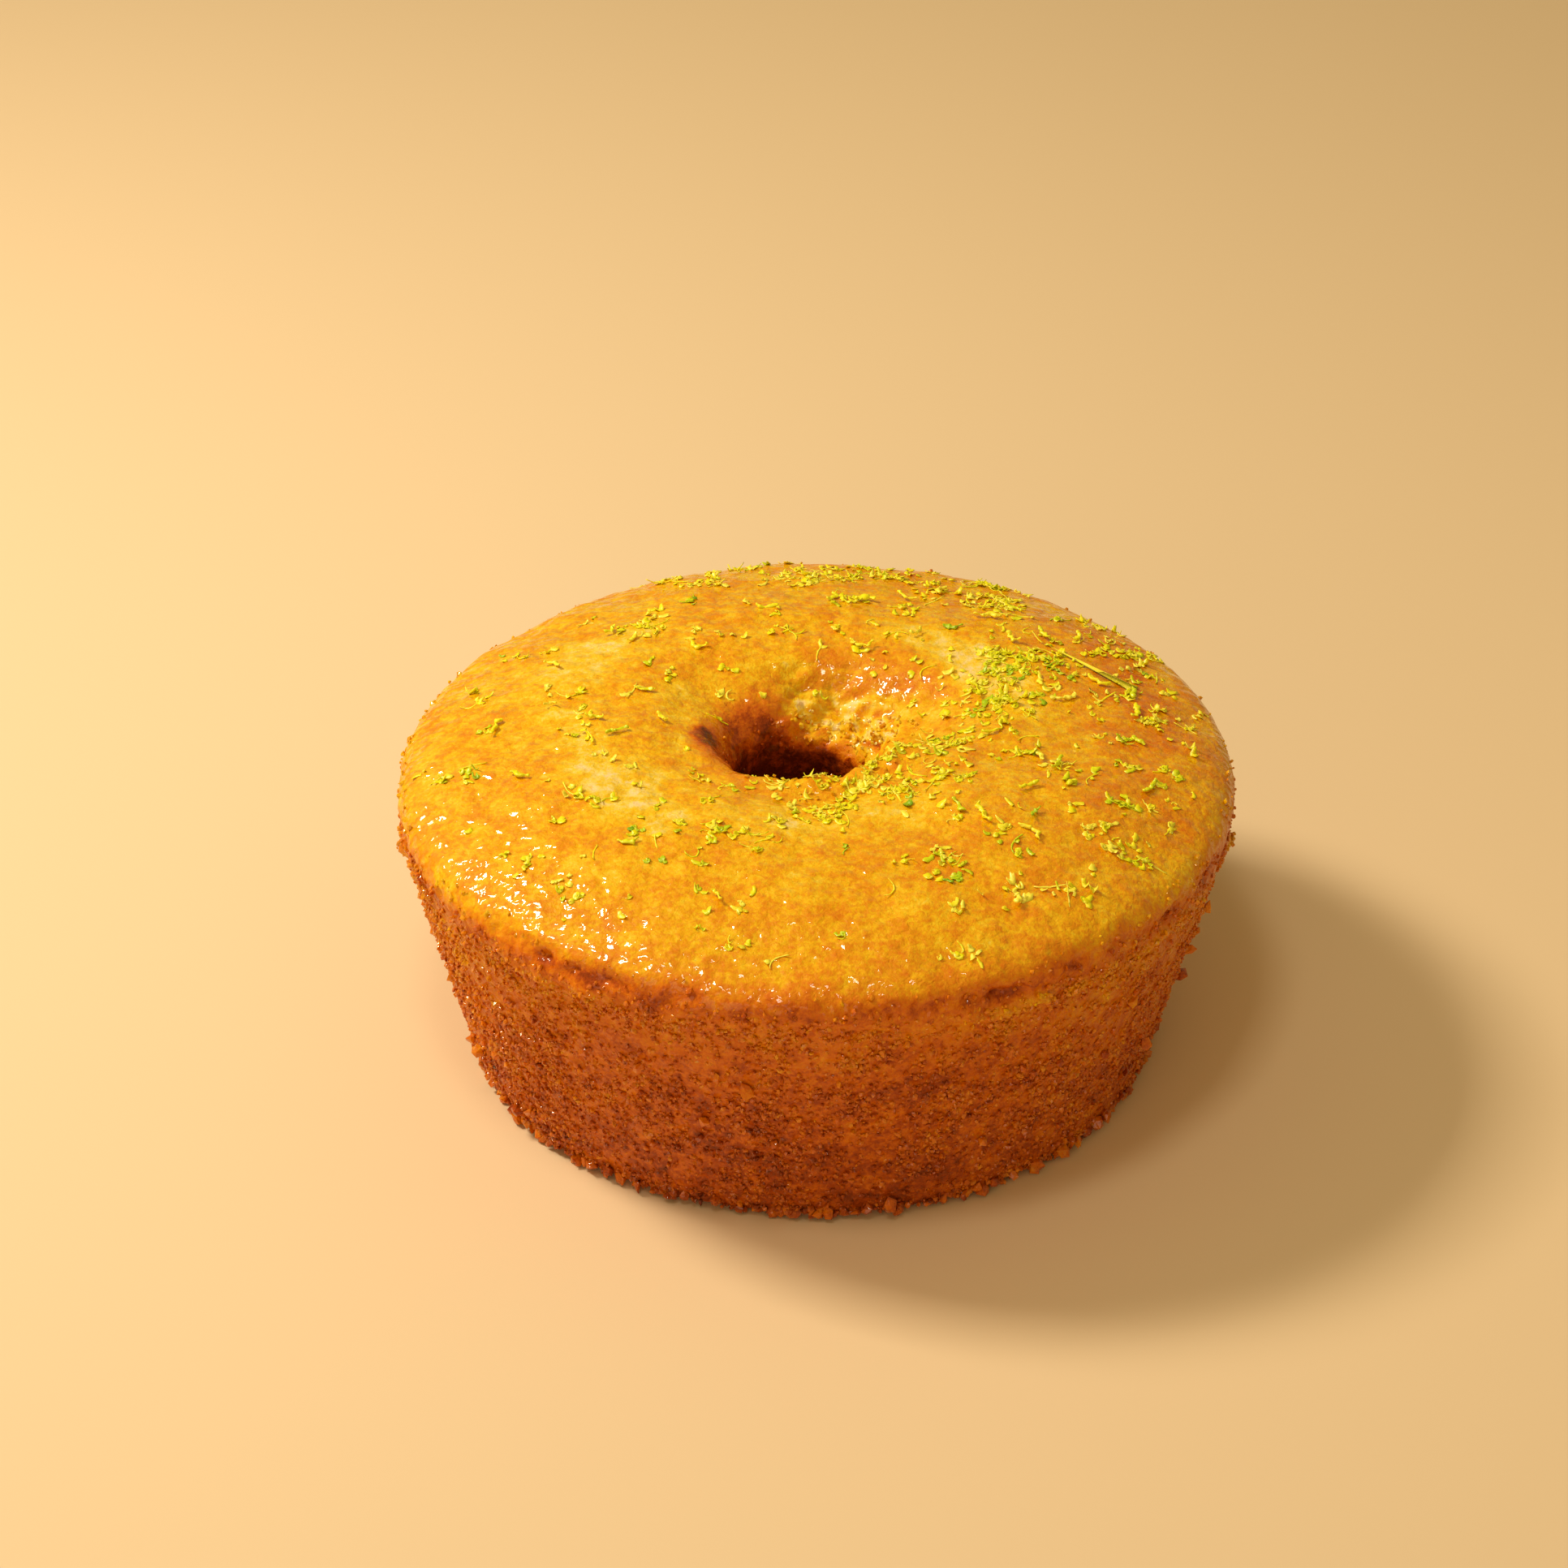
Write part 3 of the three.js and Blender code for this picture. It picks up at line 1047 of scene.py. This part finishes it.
@dataclass
class GratedPeel:
    """The peel: the longer shreds in their CAD places, and the fine scraps strewn between them."""

    ring: Ring
    finish: bpy.types.Material
    crust: bpy.types.Object
    scattered: int = 260
    heaping: float = 0.7
    looseness: float = 1.35
    clump: tuple[int, int] = (1, 5)
    clump_spread: float = 1.25 * MM
    thread_share: float = 0.15
    shred_length: float = 0.72
    shred_ragged: tuple[tuple[float, float], ...] = ((1.5 * MM, 0.5 * MM), (0.7 * MM, 0.2 * MM))
    shred_wave_size: float = 2.6 * MM
    shred_wave: float = 0.9 * MM
    shred_green: tuple[float, float] = (0.36, 0.22)
    bend: float = 1.2
    tilt: float = 1.0
    end_jitter: float = 0.08
    side_jitter: tuple[float, float] = (0.55, 1.35)
    resting: float = 0.12 * MM
    least_clear: float = 0.08 * MM
    lowest_in_funnel: float = 6 * MM
    strewn: tuple[float, float] = (26 * MM, 95 * MM)
    strewn_green: float = 0.3
    strewn_side: float = 0.35
    strewn_opposite: float = 0.25
    heap_green_spread: float = 0.2
    scrap_green_spread: float = 0.12
    batches: int = 4
    seed: int = 23
    cuts: dict[PeelCut, CutSizes] = field(
        default_factory=lambda: {
            PeelCut.FLAKE: CutSizes(
                lengths=(1.0 * MM, 3.4 * MM),
                widths=(0.7 * MM, 1.9 * MM),
                thickness=0.12 * MM,
                rise=0.3 * MM,
                crumple=0.27 * MM,
                columns=4,
                rows=2,
            ),
            PeelCut.THREAD: CutSizes(
                lengths=(2.5 * MM, 7.5 * MM),
                widths=(0.25 * MM, 0.45 * MM),
                thickness=0.2 * MM,
                rise=0.35 * MM,
                crumple=0.1 * MM,
                columns=8,
                rows=1,
            ),
        }
    )
    falls: tuple[PeelFall, ...] = (  # angle, radius, spread, count and greenness
        PeelFall(58, 82, 9, 46),
        PeelFall(92, 88, 10, 34),
        PeelFall(116, 96, 7, 8),
        PeelFall(100, 97, 7, 14),
        PeelFall(80, 98, 7, 16),
        PeelFall(62, 97, 6, 18),
        PeelFall(41, 98, 4, 12),
        PeelFall(30, 99, 3, 10),
        PeelFall(76, 87, 8, 22),
        PeelFall(110, 86, 8, 16),
        PeelFall(28, 90, 6, 22),
        PeelFall(9, 93, 5, 10),
        PeelFall(22, 44, 9, 40, 0.42),
        PeelFall(32, 58, 9, 32, 0.42),
        PeelFall(27, 68, 6, 16, 0.48),
        PeelFall(-9, 31, 7, 34, 0.34),
        PeelFall(-44, 34, 7, 34, 0.34),
        PeelFall(-66, 24, 5, 26),
        PeelFall(-116, 24, 5, 20),
        PeelFall(-100, 18.5, 3, 12),
        PeelFall(-78, 17.5, 3, 12),
        PeelFall(-50, 17.5, 3, 14),
        PeelFall(-22, 19, 3, 12),
        PeelFall(-90, 34, 7, 26),
        PeelFall(-113, 52, 8, 14, 0.4),
        PeelFall(-138, 54, 7, 10, 0.42),
        PeelFall(-19, 61, 4, 7),
        PeelFall(-13, 87, 4, 6, 0.4),
        PeelFall(-34, 80, 3, 5),
        PeelFall(-62, 67, 4, 9),
        PeelFall(-55, 81, 5, 9),
        PeelFall(-69, 93, 4, 7),
        PeelFall(130, 66, 8, 14, 0.4),
        PeelFall(-174, 89, 7, 7, 0.4),
    )

    def surface(self) -> BVHTree:
        """Makes a searchable copy of the crust, to lay peel on."""
        bm = bmesh.new()
        bm.from_mesh(self.crust.data)
        tree = BVHTree.FromBMesh(bm)
        bm.free()
        return tree

    def long_shred(self, node: str, rng: random.Random) -> bpy.types.Object:
        """Makes a curled, ragged shred from a copy of a CAD shred, and stands it for that node.

        Args:
            node: the CAD shred's name.
            rng: the seeded source of chance.

        Returns:
            The shred's object.
        """
        bm = merged_copy(node)
        bmesh.ops.subdivide_edges(bm, edges=bm.edges, cuts=2, use_grid_fill=True, smooth=0.6)
        bm.normal_update()
        shift = rng.uniform(-50, 50)
        middle = sum((v.co for v in bm.verts), Vector()) / len(bm.verts)
        for vert in bm.verts:
            ragged = sum(high * cloud(vert.co, size, shift) for size, high in self.shred_ragged)
            aside = [cloud(vert.co, self.shred_wave_size, seed) for seed in (shift, shift + 9)]
            wave = Vector((*aside, 0.0)) * self.shred_wave
            short = (vert.co - middle) * self.shred_length
            vert.co = middle + short + vert.normal * ragged + wave
        name = "peel_" + node
        piece = finish_piece(name, bm, self.finish)
        green = min(1.0, max(0.0, rng.gauss(*self.shred_green)))
        write_attribute(piece.data, "green", [green] * len(piece.data.vertices))
        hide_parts(node)
        return piece

    def fall_place(self, fall: PeelFall | None, rng: random.Random) -> tuple[Vector, float]:
        """Chooses where a scrap lies on the top, seen from above, and how green it is.

        Args:
            fall: the heap that it belongs to, or None for one strewn anywhere.
            rng: the seeded source of chance.

        Returns:
            The place in plan and the mean greenness there.
        """
        if fall is None:
            while True:
                angle = rng.uniform(-math.pi, math.pi)
                radius = math.sqrt(rng.uniform(self.strewn[0] ** 2, self.strewn[1] ** 2))
                thick = max(0.0, math.cos(angle - self.strewn_side))
                if rng.random() < self.strewn_opposite + (1 - self.strewn_opposite) * thick:
                    place = Vector((radius * math.cos(angle), radius * math.sin(angle), 0.0))
                    return place, self.strewn_green
        angle = math.radians(fall.angle)
        centre = Vector((math.cos(angle), math.sin(angle), 0.0)) * fall.radius * MM
        # half the spread is the standard deviation
        aside = Vector((rng.gauss(0, 0.5), rng.gauss(0, 0.5), 0.0)) * fall.spread
        return centre + aside * self.looseness * MM, fall.green

    def scrap(self, tree: BVHTree, place: Vector, rng: random.Random) -> bmesh.types.BMesh | None:
        """Makes one fine scrap, a flake or a thread, which follows the crust and narrows to its ends.

        Args:
            tree: the crust to lie on.
            place: the scrap's middle in plan.
            rng: the seeded source of chance.

        Returns:
            The scrap's geometry, or None where there is no crust to lie on.
        """
        cut = self.cuts[PeelCut.THREAD if rng.random() < self.thread_share else PeelCut.FLAKE]
        length = cut.lengths[0] + (cut.lengths[1] - cut.lengths[0]) * rng.random() ** 1.8
        width = rng.uniform(*cut.widths)
        heading = rng.uniform(0, math.tau)
        bend = rng.gauss(0, self.bend)
        tilt = rng.gauss(0, self.tilt)
        stand = 1 + 4 * rng.random() ** 6  # a few stand well up from the crust
        bm = bmesh.new()
        bmesh.ops.create_grid(bm, x_segments=cut.columns, y_segments=cut.rows, size=0.5)
        for vert in bm.verts:
            along = vert.co.x + rng.uniform(-self.end_jitter, self.end_jitter)
            narrowed = 1.1 - 2.2 * along * along  # half as wide at the ends
            across = vert.co.y * width * narrowed * rng.uniform(*self.side_jitter)
            turn = heading + bend * along
            x = place.x + math.cos(turn) * along * length - math.sin(turn) * across
            y = place.y + math.sin(turn) * along * length + math.cos(turn) * across
            hit = tree.ray_cast(Vector((x, y, 2 * self.ring.top)), -UP)[0]
            if hit is None or hit.z < self.ring.throat - self.lowest_in_funnel:
                bm.free()
                return None
            curl = 4 * along * along + tilt * along  # 1 at the ends, give or take the tilt
            lift = stand * cut.rise * curl + rng.uniform(-1, 1) * cut.crumple
            vert.co = Vector((x, y, hit.z + max(self.least_clear, self.resting + lift)))
        heights = [v.co.z for v in bm.verts]
        if max(heights) - min(heights) > length:
            bm.free()
            return None
        bmesh.ops.recalc_face_normals(bm, faces=bm.faces)
        bmesh.ops.solidify(bm, geom=bm.faces, thickness=cut.thickness)
        return bm

    def scraps(self, rng: random.Random) -> list[bpy.types.Object]:
        """Strews the fine scraps in a few pieces.

        Args:
            rng: the seeded source of chance.

        Returns:
            The pieces of scraps.
        """
        tree = self.surface()
        wanted = [fall for fall in self.falls for _ in range(round(self.heaping * fall.count))]
        wanted += [None] * self.scattered
        rng.shuffle(wanted)
        made = []
        for batch in range(self.batches):
            whole = bmesh.new()
            greens: list[float] = []
            for fall in wanted[batch :: self.batches]:
                middle, green = self.fall_place(fall, rng)
                tone = rng.gauss(green, self.heap_green_spread)
                for _ in range(rng.randint(*self.clump)):
                    aside = Vector((rng.gauss(0, 1), rng.gauss(0, 1), 0.0)) * self.clump_spread
                    small = self.scrap(tree, middle + aside, rng)
                    if small is None:
                        continue
                    mesh = bpy.data.meshes.new("scrap")
                    small.to_mesh(mesh)
                    small.free()
                    whole.from_mesh(mesh)
                    shade = min(1.0, max(0.0, rng.gauss(tone, self.scrap_green_spread)))
                    greens.extend([shade] * len(mesh.vertices))
                    bpy.data.meshes.remove(mesh)
            bmesh.ops.recalc_face_normals(whole, faces=whole.faces)
            piece = finish_piece(f"fine_peel_{batch + 1}", whole, self.finish)
            write_attribute(piece.data, "green", greens)
            made.append(piece)
        return made

    def build(self) -> list[bpy.types.Object]:
        """Builds all the peel."""
        rng = random.Random(self.seed)
        nodes = sorted(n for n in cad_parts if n.startswith(SHRED_PREFIX))
        return [self.long_shred(node, rng) for node in nodes] + self.scraps(rng)


@dataclass(frozen=True)
class SoftLight:
    """A square soft box, aimed at the cake. Metres and watts."""

    name: str
    direction: tuple[float, float, float]
    distance: float
    size: float
    power: float
    colour: str

    def place(self, aim: Vector) -> None:
        """Makes the light and turns it to the point that it lights."""
        data = bpy.data.lights.new(self.name, "AREA")
        data.size = self.size
        data.energy = self.power
        data.color = linear(self.colour)[:3]
        light = bpy.data.objects.new(self.name, data)
        light.location = aim + Vector(self.direction).normalized() * self.distance
        light.rotation_euler = (aim - light.location).to_track_quat("-Z", "Y").to_euler()
        bpy.context.scene.collection.objects.link(light)


@dataclass
class Studio:
    """The camera, the pale floor and the lights."""

    ring: Ring
    floor_size: float = 6.0
    floor_colour: str = "#E8CEA6"
    world_colour: str = "#FFE09C"
    world_strength: float = 0.36
    eye: tuple[float, float, float] = (-0.001, -0.9497, 0.6683)
    pitch: float = 0.5628
    yaw: float = 0.0074
    roll: float = -0.0035
    lens: float = 104.2
    lights: tuple[SoftLight, ...] = (
        SoftLight("key", (-0.63, 0.2, 0.75), 1.1, 0.25, 10.2, "#FFF1DA"),
        SoftLight("sparkle", (-0.12, -0.3, 0.94), 1.1, 0.18, 2.1, "#FFF4E0"),
        SoftLight("fill", (-0.35, -0.92, 0.18), 1.6, 1.0, 5.4, "#FFE8C4"),
    )

    def camera(self) -> None:
        """Makes the scene's camera, looking down on the cake from the front."""
        data = bpy.data.cameras.new("camera")
        data.lens = self.lens
        camera = bpy.data.objects.new("camera", data)
        turned = Matrix.Rotation(self.yaw, 4, "Z")
        level = turned @ Matrix.Rotation(math.pi / 2 - self.pitch, 4, "X")
        rolled = level @ Matrix.Rotation(self.roll, 4, "Z")
        camera.matrix_world = Matrix.Translation(self.eye) @ rolled
        bpy.context.scene.collection.objects.link(camera)
        bpy.context.scene.camera = camera

    def floor(self) -> None:
        """Makes the plain pale floor that the cake stands on."""
        bm = bmesh.new()
        bmesh.ops.create_grid(bm, x_segments=1, y_segments=1, size=self.floor_size / 2)
        mesh = bpy.data.meshes.new("floor")
        bm.to_mesh(mesh)
        bm.free()
        paint = bpy.data.materials.new("matt_painted_floor")
        paint.use_nodes = True
        shader = paint.node_tree.nodes["Principled BSDF"]
        shader.inputs["Base Color"].default_value = linear(self.floor_colour)
        shader.inputs["Roughness"].default_value = 0.8
        mesh.materials.append(paint)
        floor = bpy.data.objects.new("floor", mesh)
        bpy.context.scene.collection.objects.link(floor)

    def build(self) -> None:
        """Sets up the whole studio."""
        world = bpy.data.worlds.new("studio")
        world.use_nodes = True
        background = world.node_tree.nodes["Background"]
        background.inputs["Color"].default_value = linear(self.world_colour)
        background.inputs["Strength"].default_value = self.world_strength
        bpy.context.scene.world = world
        bpy.context.scene.view_settings.view_transform = "Standard"
        self.camera()
        self.floor()
        aim = Vector((0.0, 0.0, self.ring.top / 2))
        for light in self.lights:
            light.place(aim)
        LOG.info("studio: camera, floor and %d lights", len(self.lights))


def main() -> None:
    """Builds the cake and its studio."""
    logging.basicConfig(level=logging.INFO, format="%(name)s: %(message)s")
    ring = Ring.from_frame()
    Studio(ring).build()
    crust_finish = BakedCrust().material()
    peel_finish = CitrusPeel().material()
    browning_and_shade = BrowningAndShade(ring)
    syrup = Syrup(ring)
    crust = BakedRing(ring, browning_and_shade, syrup, crust_finish).build()
    CrumbCoat(ring, browning_and_shade, syrup, crust_finish, crust).build()
    GratedPeel(ring, peel_finish, crust).build()


if __name__ == "__main__":
    main()
